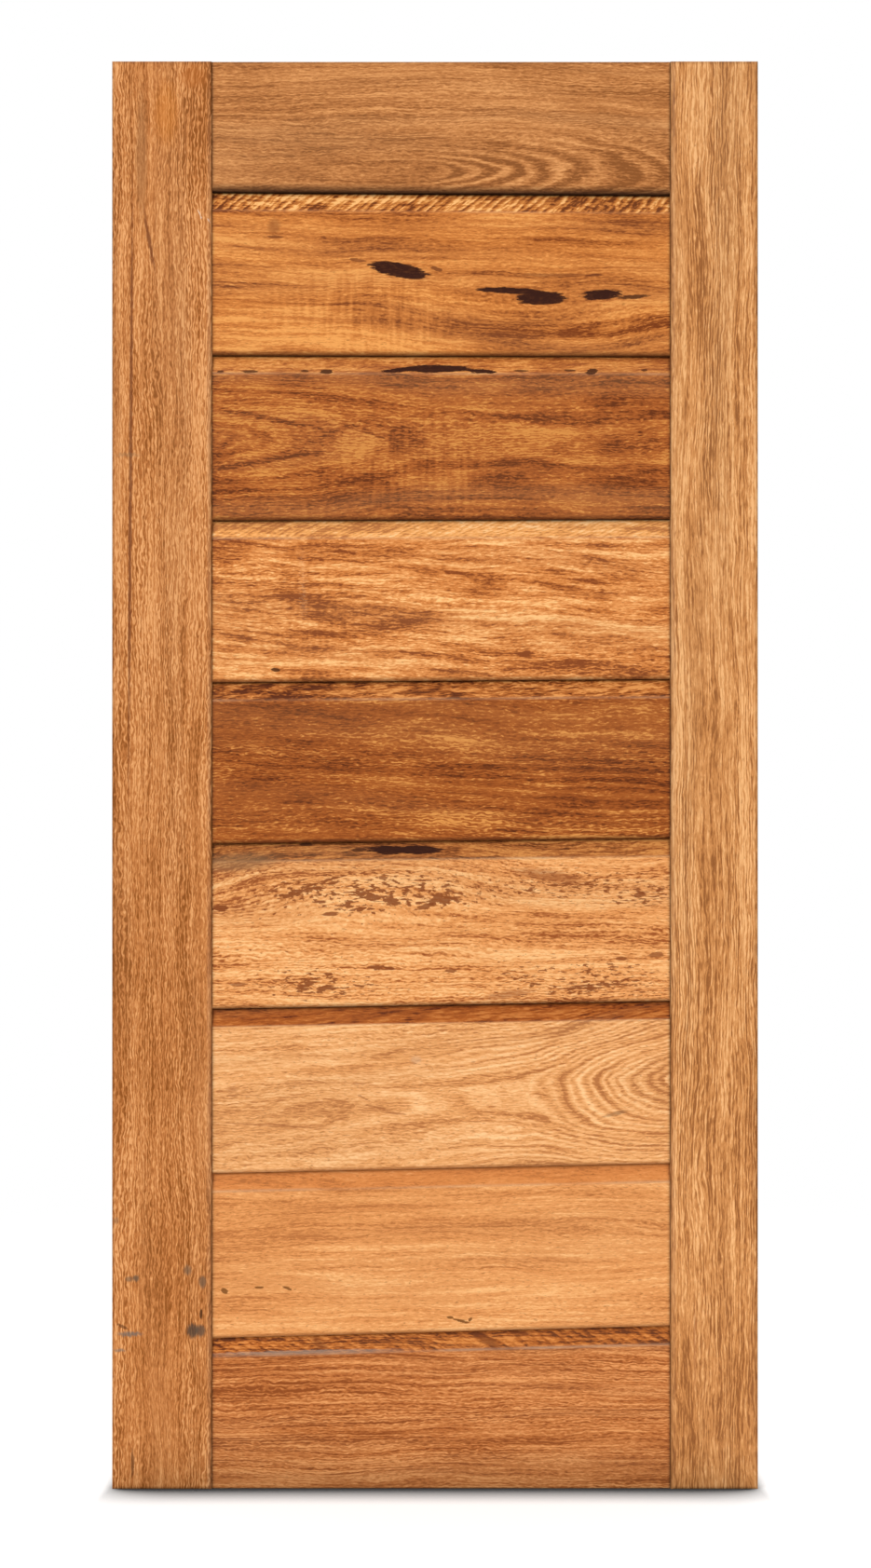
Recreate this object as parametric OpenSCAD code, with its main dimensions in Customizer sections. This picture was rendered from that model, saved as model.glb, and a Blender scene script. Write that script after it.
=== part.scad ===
// Barn door leaf of reclaimed hardwood: horizontal boards between two upright stiles.
// Each board is tongued into the board above it and shows a wide bevel below that joint.
// The board ends are tongued into grooves in the stiles and pinned there with dowels.
// X runs across the leaf, Y from the front to the back, Z up from the bottom edge.

/* [Leaf] */
// Width of the leaf over both stiles
leaf_w = 950; // [800:1:1200]
// Height of the leaf
leaf_h = 2100; // [1900:1:2400]
// Thickness of the leaf, which is that of the stiles
leaf_t = 40; // [36:0.5:50]
// Radius that eases the outer edges of the leaf
edge_ease = 2; // [0.5:0.1:3]

/* [Stiles] */
// Width of the left stile, seen from the front
stile_left_w = 147; // [100:1:180]
// Width of the right stile, seen from the front
stile_right_w = 129; // [100:1:180]
// Radius along the stile edges that face the boards
stile_round = 6; // [2:0.5:8]

/* [Boards] */
// Thickness of a board
board_t = 32; // [28:0.5:34]
// How far the boards lie behind the front of the stiles
board_setback = 4; // [1:0.5:6]
// Height that each full board covers, from joint to joint
board_pitch = 239.5; // [180:0.5:260]
// Height of the bottom board at the middle of the panel
bottom_board_h = 230; // [180:1:280]
// Least height of the top board, which takes up what the others leave
top_board_min = 120; // [100:1:160]

/* [Joints between boards] */
// Height of the bevel along the top of a board
bevel_h = 26.5; // [10:0.5:36]
// Depth of the bevel where it meets the board above
bevel_d = 9.5; // [4:0.5:10]
// Radius along the front of a board's bottom edge
drip_round = 5.5; // [2:0.5:8]
// Chamfer of the joint on the back of the leaf
back_vee = 2; // [0.5:0.1:4]
// Thickness of the tongue on a board's top edge
tongue_t = 8; // [6:0.5:10]
// Height of the tongue on a board's top edge
tongue_h = 12; // [8:0.5:20]
// How far the highest joint rises from left to right
top_joint_rise = -4.5; // [-12:0.5:12]
// How far the lowest joint rises from left to right
bottom_joint_rise = 18; // [-20:0.5:20]
// How far each joint lies above an even spacing, from the highest one down, as old boards differ
joint_lift = [-0.5, 0.5, -1.5, 1, 4.5, 2.5, 1.5, 0]; // [-8:0.5:8]

/* [End joints] */
// Thickness of the tongue on a board's end
end_tongue_t = 12; // [10:0.5:16]
// Length of the tongue on a board's end
end_tongue_l = 16; // [8:0.5:24]
// Room left around and beyond a tongue in its groove
groove_room = 0.25; // [0.1:0.05:0.5]
// Diameter of a dowel
dowel_d = 8; // [6:0.5:9]
// Length of a dowel, half in the board and half in the stile
dowel_l = 100; // [80:1:150]
// Height of a dowel's centre above or below the nearest joint
dowel_inset = 50; // [42:1:54]
// Chamfer at each end of a dowel
dowel_chamfer = 1.2; // [0.5:0.1:2]
// Room left around a dowel in its bore
dowel_room = 0.05; // [0.02:0.01:0.2]
// Room left beyond the end of a dowel in its bore
bore_end_room = 1; // [0.5:0.5:4]

/* [Hidden] */
$fn = 64;

// How far a cut runs past the wood that it takes away, and the length of a cut along X
overcut = 1;
cut_l = 2 * leaf_w;

// Place of an eased corner's centre, as a share of the corner's reach: past 1, the arc
// meets each face at a slight angle, as a worn edge does
ease_lean = 1.25;

// Front and back of the leaf and of the boards
leaf_front = -leaf_t / 2;
leaf_back = leaf_t / 2;
board_front = leaf_front + board_setback;
board_back = board_front + board_t;
board_middle = (board_front + board_back) / 2;

// The panel of boards between the stiles
panel_left = -leaf_w / 2 + stile_left_w;
panel_right = leaf_w / 2 - stile_right_w;
panel_w = panel_right - panel_left;
panel_centre = (panel_left + panel_right) / 2;

// Board 1 is the top one, and joint 1 lies below it
full_boards = floor((leaf_h - bottom_board_h - top_board_min) / board_pitch);
board_count = full_boards + 2;
joint_count = board_count - 1;

// Tongue on a board's top edge, centred in the board's thickness
tongue_front = board_middle - tongue_t / 2;
tongue_back = board_middle + tongue_t / 2;

// Bores for the dowels
bore_d = dowel_d + 2 * dowel_room;
bore_l = dowel_l + 2 * bore_end_room;

// Wood colours from the top board to the bottom one, then the stiles and dowels
board_colours = [
    "#BF7D47", "#C97C3D", "#B06632", "#D68A4C", "#A65E2D",
    "#E19B5D", "#E9A76A", "#E59D5D", "#BF7640"
];
stile_left_colour = "#C7824A";
stile_right_colour = "#D19158";
dowel_colour = "#D8B88A";

function board_name(i) = str("board_", i);

// Height of a joint at the middle of the panel
function joint_height(j) =
    bottom_board_h + (joint_count - j) * board_pitch + joint_lift[(j - 1) % len(joint_lift)];

// The rise of the joints changes evenly from the highest one to the lowest
function joint_rise(j) =
    top_joint_rise + (bottom_joint_rise - top_joint_rise) * (j - 1) / max(1, joint_count - 1);

function joint_angle(j) = atan(joint_rise(j) / panel_w);

// Height of a joint at a place across the leaf
function joint_at(j, x) = joint_height(j) + joint_rise(j) * (x - panel_centre) / panel_w;

// Bottom and top of a board at a place across the leaf
function board_bottom(i, x) = i == board_count ? 0 : joint_at(i, x);
function board_top(i, x) = i == 1 ? leaf_h : joint_at(i - 1, x);

// Heights of the dowels in one board at a place across the leaf
function dowel_heights(i, x) = [board_bottom(i, x) + dowel_inset, board_top(i, x) - dowel_inset];

// Runs a section drawn in Y and Z along X, to both sides of the origin
module along_x(length) {
    translate([-length / 2, 0, 0])
        rotate([90, 0, 90])
            linear_extrude(length) children();
}

// Moves to a joint: X runs along it and Z = 0 is the bottom edge of the board above
module on_joint(j) {
    translate([panel_centre, 0, joint_height(j)])
        rotate([0, -joint_angle(j), 0]) children();
}

// What is eased off a corner that lies at the origin and opens towards +X +Y
module corner_waste(reach) {
    centre = ease_lean * reach;
    difference() {
        translate([-overcut, -overcut]) square(centre + overcut);
        translate([centre, centre]) circle(norm([centre, centre - reach]));
    }
}

// What a chamfer takes off such a corner
module chamfer_waste(size) {
    polygon([[-overcut, -overcut], [size + overcut, -overcut], [-overcut, size + overcut]]);
}

// Section of a board's top edge: the wood that lies above it, around the bevel and tongue
module top_edge_waste() {
    front = board_front - overcut;
    back = board_back + overcut;
    high = tongue_h + overcut;
    bevel_slope = bevel_h / bevel_d;
    polygon([
        [front, high], [front, -bevel_h - overcut * bevel_slope],
        [board_front + bevel_d, 0], [tongue_front, 0],
        [tongue_front, tongue_h], [tongue_back, tongue_h], [tongue_back, 0],
        [board_back - back_vee, 0], [back, -back_vee - overcut], [back, high]
    ]);
}

// Section of a board's bottom edge: the wood below it, its groove and its eased corners
module bottom_edge_waste(depth) {
    translate([board_front - overcut, -depth]) square([board_t + 2 * overcut, depth]);
    translate([tongue_front - groove_room, -overcut])
        square([tongue_t + 2 * groove_room, tongue_h + groove_room + overcut]);
    translate([board_front, 0]) corner_waste(drip_round);
    translate([board_back, 0]) mirror([1, 0]) chamfer_waste(back_vee);
}

// Bores along X for the dowels of one board at one side of the panel
module dowel_bores(i, x) {
    for (z = dowel_heights(i, x))
        translate([x - bore_l / 2, board_middle, z])
            rotate([0, 90, 0]) cylinder(d = bore_d, h = bore_l);
}

// A board before its edges are worked: the panel's width, with the tongues at both ends
module board_blank(low, high) {
    height = high - low;
    translate([panel_left, board_front, low]) cube([panel_w, board_t, height]);
    translate([panel_left - end_tongue_l, board_middle - end_tongue_t / 2, low])
        cube([panel_w + 2 * end_tongue_l, end_tongue_t, height]);
}

// Rounds off the outer edges of the leaf at the front and back of a section, at one height
module leaf_edge_waste(front, back) {
    translate([front, 0]) corner_waste(edge_ease);
    translate([back, 0]) mirror([1, 0]) corner_waste(edge_ease);
}

// A board: its blank is cut along the joint above it and the joint below it
module board(i) {
    slope_room = max(abs(top_joint_rise), abs(bottom_joint_rise));
    low = i == board_count ? 0 : joint_height(i) - slope_room;
    high = i == 1 ? leaf_h : joint_height(i - 1) + tongue_h + slope_room;
    waste_depth = 2 * slope_room + overcut;
    color(board_colours[(i - 1) % len(board_colours)])
        difference() {
            board_blank(low, high);
            if (i > 1)
                on_joint(i - 1) along_x(cut_l) {
                    top_edge_waste();
                    translate([board_front - overcut, tongue_h])
                        square([board_t + 2 * overcut, waste_depth]);
                }
            else
                translate([panel_centre, 0, leaf_h]) mirror([0, 0, 1])
                    along_x(cut_l) leaf_edge_waste(board_front, board_back);
            if (i < board_count)
                on_joint(i) along_x(cut_l) bottom_edge_waste(waste_depth);
            else
                translate([panel_centre, 0, 0])
                    along_x(cut_l) leaf_edge_waste(board_front, board_back);
            dowel_bores(i, panel_left);
            dowel_bores(i, panel_right);
        }
}

// Section of a stile that lies to the left of its inner edge at X = 0
module stile_section(width) {
    groove_w = end_tongue_t + 2 * groove_room;
    groove_d = end_tongue_l + groove_room;
    difference() {
        translate([-width, leaf_front]) square([width, leaf_t]);
        translate([-groove_d, board_middle - groove_w / 2]) square([groove_d + overcut, groove_w]);
        for (side = [0, 1])
            mirror([0, side]) {
                translate([-width, leaf_front]) corner_waste(edge_ease);
                translate([0, leaf_front]) mirror([1, 0]) corner_waste(stile_round);
            }
    }
}

// A stile whose inner edge lies at X = 0, with its top and bottom edges eased
module stile_blank(width) {
    difference() {
        linear_extrude(leaf_h) stile_section(width);
        along_x(cut_l) leaf_edge_waste(leaf_front, leaf_back);
        translate([0, 0, leaf_h]) mirror([0, 0, 1])
            along_x(cut_l) leaf_edge_waste(leaf_front, leaf_back);
    }
}

module stile_left() {
    color(stile_left_colour)
        difference() {
            translate([panel_left, 0, 0]) stile_blank(stile_left_w);
            for (i = [1 : board_count]) dowel_bores(i, panel_left);
        }
}

module stile_right() {
    color(stile_right_colour)
        difference() {
            translate([panel_right, 0, 0]) mirror([1, 0, 0]) stile_blank(stile_right_w);
            for (i = [1 : board_count]) dowel_bores(i, panel_right);
        }
}

// A dowel with chamfered ends that lies along X, centred at the origin
module dowel() {
    radius = dowel_d / 2;
    tip = radius - dowel_chamfer;
    half = dowel_l / 2;
    shoulder = half - dowel_chamfer;
    rotate([0, 90, 0])
        rotate_extrude()
            polygon([
                [0, -half], [tip, -half], [radius, -shoulder],
                [radius, shoulder], [tip, half], [0, half]
            ]);
}

// All the dowels along one side of the panel
module dowels(x) {
    color(dowel_colour)
        for (i = [1 : board_count])
            for (z = dowel_heights(i, x)) translate([x, board_middle, z]) dowel();
}

stile_left();
stile_right();
for (i = [1 : board_count])
    board(i);
dowels(panel_left);  // dowels_left
dowels(panel_right);  // dowels_right
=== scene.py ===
"""Barn door leaf: bevelled boards between two upright stiles, in oiled reclaimed eucalypt.

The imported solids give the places, and the sections have the same lengths as theirs. Each board and
stile is swept again as a finer mesh with worn arrises and a slightly uneven face, and gets a solid wood
grain of its own. The dowels keep their solids and get a turned wood.
"""
import math
from collections import namedtuple
from functools import partial
from itertools import starmap

import bpy
import numpy as np
from mathutils import Matrix, Vector


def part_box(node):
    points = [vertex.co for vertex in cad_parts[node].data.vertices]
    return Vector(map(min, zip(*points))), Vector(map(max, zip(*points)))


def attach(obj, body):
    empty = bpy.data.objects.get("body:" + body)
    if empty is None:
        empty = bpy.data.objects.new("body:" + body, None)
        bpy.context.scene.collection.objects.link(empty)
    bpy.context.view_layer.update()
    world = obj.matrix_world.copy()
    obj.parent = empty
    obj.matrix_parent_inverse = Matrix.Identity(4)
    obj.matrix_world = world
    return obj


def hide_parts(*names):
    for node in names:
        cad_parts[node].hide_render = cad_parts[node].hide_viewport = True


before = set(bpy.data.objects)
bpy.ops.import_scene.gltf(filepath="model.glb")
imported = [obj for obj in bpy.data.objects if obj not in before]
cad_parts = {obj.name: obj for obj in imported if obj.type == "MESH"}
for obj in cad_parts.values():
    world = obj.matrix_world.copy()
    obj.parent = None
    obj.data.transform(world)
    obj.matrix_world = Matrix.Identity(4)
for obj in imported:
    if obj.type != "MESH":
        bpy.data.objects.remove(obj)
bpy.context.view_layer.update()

# Lengths below are in millimetres, and Blender's in metres
MM = 0.001

# Sections of the boards and stiles
BEVEL_HEIGHT = 26.5
BEVEL_DEPTH = 9.5
DRIP_EASE = 5.5
EDGE_EASE = 2.0
STILE_EASE = 6.0
EASE_LEAN = 1.25
BACK_VEE = 2.0
TONGUE_THICK = 8.0
TONGUE_HIGH = 12.0
TONGUE_ROOM = 0.25
END_TONGUE_THICK = 12.0
GROOVE_THICK = END_TONGUE_THICK + 2 * TONGUE_ROOM

# Spacing of the mesh on a show face and on a hidden one, and how finely arcs and small faces are cut
SHOW_STEP = 3.0
PLAIN_STEP = 24.0
EASE_POINTS = 6
STILE_EASE_POINTS = 8
BEVEL_POINTS = 9
DRIP_POINTS = 4

# How uneven the faces are, and how close to a stile a board's face turns even
UNEVENNESS = 0.9
EVEN_WITHIN = 10.0
# How deep an arris is worn, how far the bevel's reaches and is set back, and how much a stile's shows,
# worn and with a pale painted highlight
ARRIS_WEAR = 1.2
ARRIS_REACH = 3.2
ARRIS_SETBACK = 0.15
STILE_ARRIS = 0.2
# How far a gum pocket is sunk, and how steeply from its rim
POCKET_DEPTH = 0.8
POCKET_STEEPNESS = 1.6
# How far the shade painted in a joint reaches down the bevel, under the board above
JOINT_SHADE_REACH = 4.2
# How dark the shade painted on the leaf's outer eased edges, on a stile's inner eased edge and on a
# board's face at its end is, and how far the shade at a board's end reaches from that end
OUTER_EDGE_SHADE = 0.25
INNER_EDGE_SHADE = 0.6
END_SHADE = 0.6
END_SHADE_REACH = 3.6


def box_of(node):
    """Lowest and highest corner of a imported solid, in millimetres."""
    low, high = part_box(node)
    return np.array(low) / MM, np.array(high) / MM


LEFT_LOW, LEFT_HIGH = box_of("stile_left")
RIGHT_LOW, RIGHT_HIGH = box_of("stile_right")
BOARD_LOW, BOARD_HIGH = box_of("board_1")
LEAF_LEFT, LEAF_RIGHT = LEFT_LOW[0], RIGHT_HIGH[0]
PANEL_LEFT, PANEL_RIGHT = LEFT_HIGH[0], RIGHT_LOW[0]
LEAF_FRONT, LEAF_BACK = LEFT_LOW[1], LEFT_HIGH[1]
LEAF_HEIGHT = LEFT_HIGH[2]
BOARD_FRONT, BOARD_BACK = BOARD_LOW[1], BOARD_HIGH[1]
LEAF_THICK = LEAF_BACK - LEAF_FRONT
LEAF_MIDDLE = (LEAF_FRONT + LEAF_BACK) / 2
BOARD_MIDDLE = (BOARD_FRONT + BOARD_BACK) / 2
END_TONGUE_LENGTH = PANEL_LEFT - BOARD_LOW[0]
BOARD_COUNT = sum(name.startswith("board_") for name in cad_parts)


def linear(code):
    """An sRGB hex colour as linear RGBA."""
    parts = [int(code[i:i + 2], 16) / 255 for i in (1, 3, 5)]
    return [v / 12.92 if v <= 0.04045 else ((v + 0.055) / 1.055) ** 2.4 for v in parts] + [1.0]


MATH = "ShaderNodeMath"
VECTOR = "ShaderNodeVectorMath"
RANGE = "ShaderNodeMapRange"
MIX = "ShaderNodeMix"
NOISE = "ShaderNodeTexNoise"
RAMP = "ShaderNodeValToRGB"
SPLIT = "ShaderNodeSeparateXYZ"
JOIN = "ShaderNodeCombineXYZ"
PRINCIPLED = "ShaderNodeBsdfPrincipled"
SMOOTH = {"interpolation_type": "SMOOTHSTEP"}


def add(tree, kind, inputs=(), operation=None, stops=(), **settings):
    """Adds a node with its operation, settings and colour stops, sets or links its inputs by order or by
    name, and returns its outputs."""
    node = tree.nodes.new(kind)
    if operation:
        node.operation = operation
    for name, value in settings.items():
        setattr(node, name, value)
    for _ in stops[2:]:
        node.color_ramp.elements.new(0.5)
    for i, code in enumerate(stops):
        stop = node.color_ramp.elements[i]
        stop.position = i / (len(stops) - 1)
        stop.color = linear(code)
    for key, value in inputs.items() if isinstance(inputs, dict) else enumerate(inputs):
        if isinstance(value, bpy.types.NodeSocket):
            tree.links.new(value, node.inputs[key])
        else:
            node.inputs[key].default_value = value
    return node.outputs


def blank_material(name):
    """A new material whose node tree is empty."""
    material = bpy.data.materials.new(name)
    material.use_nodes = True
    material.node_tree.nodes.clear()
    return material


def new_object(name, data):
    """A new object in the scene."""
    thing = bpy.data.objects.new(name, data)
    bpy.context.scene.collection.objects.link(thing)
    return thing


# Sweeping a section along a run

# A point of a section. share 0 is measured from the low edge and share 1 from the high edge. open is how
# free it is to be uneven, band is 1 on the bevel, arris is how worn it is and how much of the pale line,
# partly a painted highlight, it shows, and grime is how much shade is painted on it.
Spot = namedtuple("Spot", "depth share offset open band arris grime", defaults=(0.0, 0.0, 0.0, 0.0))
# A place along a run, the most that the section reaches from its middle there, how far its surface is
# free to be uneven, and how much shade is painted there
Station = namedtuple("Station", "along reach bare soil", defaults=(0.0,))

TIMBER_INPUTS = {
    "NodeSocketGeometry": ("Geometry",), "NodeSocketObject": ("Run",), "NodeSocketBool": ("Upright",),
    "NodeSocketMaterial": ("Wood",),
    "NodeSocketFloat": ("Start", "End", "Low at start", "Low at end", "High at start", "High at end",
                        "Middle depth", "Unevenness", "Arris wear", "Seed"),
}
# Points of two stations that come to lie closer than this are joined
JOIN_WITHIN = 0.002
# How long the swells of a face and the worn places of an arris are
SWELL_LENGTH = 140.0
WEAR_LENGTH = 34.0
# Edges that turn by more than this stay crisp
SHARP_ANGLE = math.radians(24)


def timber_tree():
    """A sweep whose edges may taper: section points and stations carry their places as attributes."""
    tree = bpy.data.node_groups.new("timber_sweep", "GeometryNodeTree")
    for kind, names in TIMBER_INPUTS.items():
        for name in names:
            tree.interface.new_socket(name=name, in_out="INPUT", socket_type=kind)
    tree.interface.new_socket(name="Geometry", in_out="OUTPUT", socket_type="NodeSocketGeometry")
    put = partial(add, tree)
    given = put("NodeGroupInput")
    told = {
        name: put("GeometryNodeInputNamedAttribute", {"Name": name}, data_type="FLOAT")[0]
        for name in ("depth", "share", "offset", "open", "arris", "along", "reach", "bare")
    }

    section = put("GeometryNodeMeshToCurve", {"Mesh": given["Geometry"]})[0]
    run_mesh = put("GeometryNodeObjectInfo", {"Object": given["Run"]})["Geometry"]
    run = put("GeometryNodeMeshToCurve", {"Mesh": run_mesh})[0]
    swept = put("GeometryNodeCurveToMesh", {"Curve": run, "Profile Curve": section, "Fill Caps": True})[0]

    edges = [
        put(RANGE, (told["along"], given["Start"], given["End"], given[edge + " at start"],
                    given[edge + " at end"]), clamp=False)[0]
        for edge in ("Low", "High")
    ]
    between = put(MIX, {0: told["share"], 2: edges[0], 3: edges[1]}, data_type="FLOAT",
                  clamp_factor=False)[0]
    across = put(MATH, (between, told["offset"]), "ADD")[0]
    least = put(MATH, (given["Middle depth"], told["reach"]), "SUBTRACT")[0]
    most = put(MATH, (given["Middle depth"], told["reach"]), "ADD")[0]
    depth = put("ShaderNodeClamp", (told["depth"], least, most))[0]
    lying = put(JOIN, (told["along"], depth, across))[0]
    standing = put(JOIN, (across, depth, told["along"]))[0]
    place = put("GeometryNodeSwitch", {"Switch": given["Upright"], "False": lying, "True": standing},
                input_type="VECTOR")[0]
    placed = put("GeometryNodeSetPosition", {"Geometry": swept, "Position": place})[0]
    joined = put("GeometryNodeMergeByDistance", {"Geometry": placed, "Distance": JOIN_WITHIN})[0]

    swell, rub = [
        put(NOISE, {"Vector": place, "W": given["Seed"], "Scale": 1 / length, "Detail": detail},
            noise_dimensions="4D")[0]
        for length, detail in ((SWELL_LENGTH, 2.0), (WEAR_LENGTH, 3.0))
    ]
    centred = put(MATH, (swell, 0.5), "SUBTRACT")[0]
    open_here = put(MATH, (told["open"], told["bare"]), "MULTIPLY")[0]
    uneven = put(MATH, (given["Unevenness"], open_here), "MULTIPLY")[0]
    worn = put(MATH, (given["Arris wear"], told["arris"]), "MULTIPLY")[0]
    worn_here = put(MATH, (worn, told["bare"]), "MULTIPLY")[0]
    raised = put(MATH, (centred, uneven), "MULTIPLY")[0]
    cut = put(MATH, (rub, worn_here), "MULTIPLY")[0]
    moved = put(MATH, (raised, cut), "SUBTRACT")[0]
    normal = put("GeometryNodeInputNormal")["Normal"]
    offset = put(VECTOR, {0: normal, "Scale": moved}, "SCALE")[0]
    shaped = put("GeometryNodeSetPosition", {"Geometry": joined, "Offset": offset})[0]

    sized = put("GeometryNodeTransform", {"Geometry": shaped, "Scale": (MM, MM, MM)})[0]
    smooth = put("GeometryNodeSetShadeSmooth", {"Geometry": sized}, domain="FACE")[0]
    angle = put("GeometryNodeInputMeshEdgeAngle")[0]
    sharp = put("FunctionNodeCompare", (angle, SHARP_ANGLE), "GREATER_THAN")[0]
    crisp = put("GeometryNodeSetShadeSmooth",
                {"Geometry": smooth, "Selection": sharp, "Shade Smooth": False}, domain="EDGE")[0]
    whole = put("GeometryNodeRealizeInstances", {"Geometry": crisp})[0]
    finished = put("GeometryNodeSetMaterial", {"Geometry": whole, "Material": given["Wood"]})[0]
    put("NodeGroupOutput", {"Geometry": finished})
    return tree


def polyline(name, points, closed):
    """A chain of edges whose points hold their fields as attributes."""
    count = len(points)
    links = [(i, i + 1) for i in range(count - 1)]
    if closed:
        links.append((count - 1, 0))
        turns = [2 * math.pi * i / count for i in range(count)]
        corners = [(math.cos(turn), math.sin(turn), 0.0) for turn in turns]
    else:
        corners = [(0.0, 0.0, float(i)) for i in range(count)]
    mesh = bpy.data.meshes.new(name)
    mesh.from_pydata(corners, links, [])
    for field in points[0]._fields:
        values = [getattr(point, field) for point in points]
        mesh.attributes.new(field, "FLOAT", "POINT").data.foreach_set("value", values)
    return new_object(name, mesh)


def ease(reach, points=EASE_POINTS):
    """Insets from the two faces of a corner along its eased arc, from the second face to the first."""
    centre = EASE_LEAN * reach
    radius = math.hypot(centre, centre - reach)
    lean = math.atan2(centre - reach, centre)
    turns = np.linspace(math.pi + lean, 1.5 * math.pi - lean, points)
    return [(centre + radius * math.cos(t), centre + radius * math.sin(t)) for t in turns]


def face_spots(depth, low, high, span, step, rising):
    """Points up or down a flat face between two offsets, one from each edge."""
    count = max(2, round(span / step))
    shares = np.linspace(0, 1, count + 1)[1:-1]
    spots = [Spot(depth, t, (1 - t) * low + t * high, open=1.0) for t in shares]
    return spots if rising else spots[::-1]


def board_section(height, first, last, drip, joint):
    """Section of a board, made from the front of its bottom edge up the front and down the back, and
    turned round so that its faces point outwards. Shade is painted along its bottom edge, in the joint
    above it and at the roots of its tongue and groove."""
    drip_reach, drip_shade = drip
    front, back = BOARD_FRONT, BOARD_BACK
    tongue_front = BOARD_MIDDLE - TONGUE_THICK / 2
    tongue_back = BOARD_MIDDLE + TONGUE_THICK / 2
    spots = []
    low_ease = EDGE_EASE if last else DRIP_EASE
    # Shade is painted up the bottom edge, where it turns under the board, fading out at drip_reach
    for inset, rise in reversed(ease(low_ease)):
        spots.append(Spot(front + inset, 0, rise, grime=drip_shade * (1 - rise / drip_reach)))
    high = -EDGE_EASE if first else -BEVEL_HEIGHT - ARRIS_REACH
    if drip_reach > low_ease:
        for rise in np.linspace(low_ease, drip_reach, DRIP_POINTS)[1:]:
            spots.append(Spot(front, 0, rise, open=1.0, grime=drip_shade * (1 - rise / drip_reach)))
    spots += face_spots(front, max(low_ease, drip_reach), high, height, SHOW_STEP, rising=True)
    if first:
        # Shade is painted on the top board's upper front eased edge
        spots += [Spot(front + inset, 1, -drop, grime=OUTER_EDGE_SHADE) for inset, drop in ease(EDGE_EASE)]
        spots += [Spot(back - inset, 1, -drop) for inset, drop in reversed(ease(EDGE_EASE))]
    else:
        spots.append(Spot(front, 1, high, open=1.0))
        spots.append(Spot(front + ARRIS_SETBACK, 1, -BEVEL_HEIGHT, open=1.0, arris=1.0, band=0.5))
        for share in np.linspace(ARRIS_REACH / BEVEL_HEIGHT, 1, BEVEL_POINTS):
            # Shade is painted at the top of the bevel, in the joint under the board above
            grime = joint * max(0.0, 1 - (1 - share) * BEVEL_HEIGHT / JOINT_SHADE_REACH)
            spots.append(Spot(front + share * BEVEL_DEPTH, 1, (share - 1) * BEVEL_HEIGHT,
                              open=1.0 - grime, band=1.0, grime=grime))
        # The roots of the tongue and of the back vee are painted dark as shade
        spots += [
            Spot(tongue_front, 1, 0, grime=1.0), Spot(tongue_front, 1, TONGUE_HIGH),
            Spot(tongue_back, 1, TONGUE_HIGH), Spot(tongue_back, 1, 0),
            Spot(back - BACK_VEE, 1, 0, grime=1.0), Spot(back, 1, -BACK_VEE),
        ]
    low = EDGE_EASE if last else BACK_VEE
    high = -EDGE_EASE if first else -BACK_VEE
    spots += face_spots(back, low, high, height, PLAIN_STEP, rising=False)
    if last:
        spots += [Spot(back - inset, 0, rise) for inset, rise in ease(EDGE_EASE)]
    else:
        # The roots of the groove and of the back vee are painted dark as shade
        room = TONGUE_ROOM
        spots += [
            Spot(back, 0, BACK_VEE), Spot(back - BACK_VEE, 0, 0, grime=1.0),
            Spot(tongue_back + room, 0, 0), Spot(tongue_back + room, 0, TONGUE_HIGH + room),
            Spot(tongue_front - room, 0, TONGUE_HIGH + room),
            Spot(tongue_front - room, 0, 0, grime=1.0),
        ]
    return spots[::-1]


def stile_section(width, inward):
    """Section of a stile, from its outer edge along the front to its grooved inner edge and back."""
    groove_front = BOARD_MIDDLE - GROOVE_THICK / 2
    groove_back = BOARD_MIDDLE + GROOVE_THICK / 2
    groove_depth = END_TONGUE_LENGTH + TONGUE_ROOM
    spots = []
    # Shade is painted on the outer eased edge
    for inset, rise in ease(EDGE_EASE):
        spots.append(Spot(LEAF_FRONT + rise, 0, inward * inset, grime=OUTER_EDGE_SHADE))
    spots += face_spots(LEAF_FRONT, inward * EDGE_EASE, -inward * STILE_EASE, width, SHOW_STEP, True)
    # Shade is painted on the inner eased edge, darkest towards the boards; a pale highlight where it
    # leaves the face
    for inset, drop in ease(STILE_EASE, STILE_EASE_POINTS):
        turned = inset / STILE_EASE
        spots.append(Spot(LEAF_FRONT + inset, 1, -inward * drop, arris=STILE_ARRIS * (1 - turned),
                          grime=INNER_EDGE_SHADE * turned))
    spots += [
        Spot(groove_front, 1, 0), Spot(groove_front, 1, -inward * groove_depth),
        Spot(groove_back, 1, -inward * groove_depth), Spot(groove_back, 1, 0),
    ]
    for inset, drop in reversed(ease(STILE_EASE, STILE_EASE_POINTS)):
        spots.append(Spot(LEAF_BACK - inset, 1, -inward * drop))
    spots += face_spots(LEAF_BACK, inward * EDGE_EASE, -inward * STILE_EASE, width, PLAIN_STEP, False)
    for inset, rise in ease(EDGE_EASE):
        spots.append(Spot(LEAF_BACK - inset, 0, inward * rise))
    return spots if inward > 0 else spots[::-1]


def press_pockets(mesh, pockets):
    """Sinks the gum pockets in a board's face a little, where the gum has shrunk and broken out."""
    corners = np.empty(3 * len(mesh.vertices))
    mesh.vertices.foreach_get("co", corners)
    corners = corners.reshape(-1, 3) / MM
    on_face = corners[:, 1] < BOARD_FRONT + BEVEL_DEPTH
    for pocket in pockets:
        turn = math.radians(pocket.turn)
        right, up = corners[:, 0] - pocket.x, corners[:, 2] - pocket.z
        along = (right * math.cos(turn) + up * math.sin(turn)) / pocket.length
        across = (up * math.cos(turn) - right * math.sin(turn)) / pocket.width
        inside = np.clip(POCKET_STEEPNESS * (1 - np.hypot(along, across)), 0, 1)
        corners[:, 1] += on_face * POCKET_DEPTH * inside
    mesh.vertices.foreach_set("co", (corners * MM).ravel())
    mesh.update()


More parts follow.
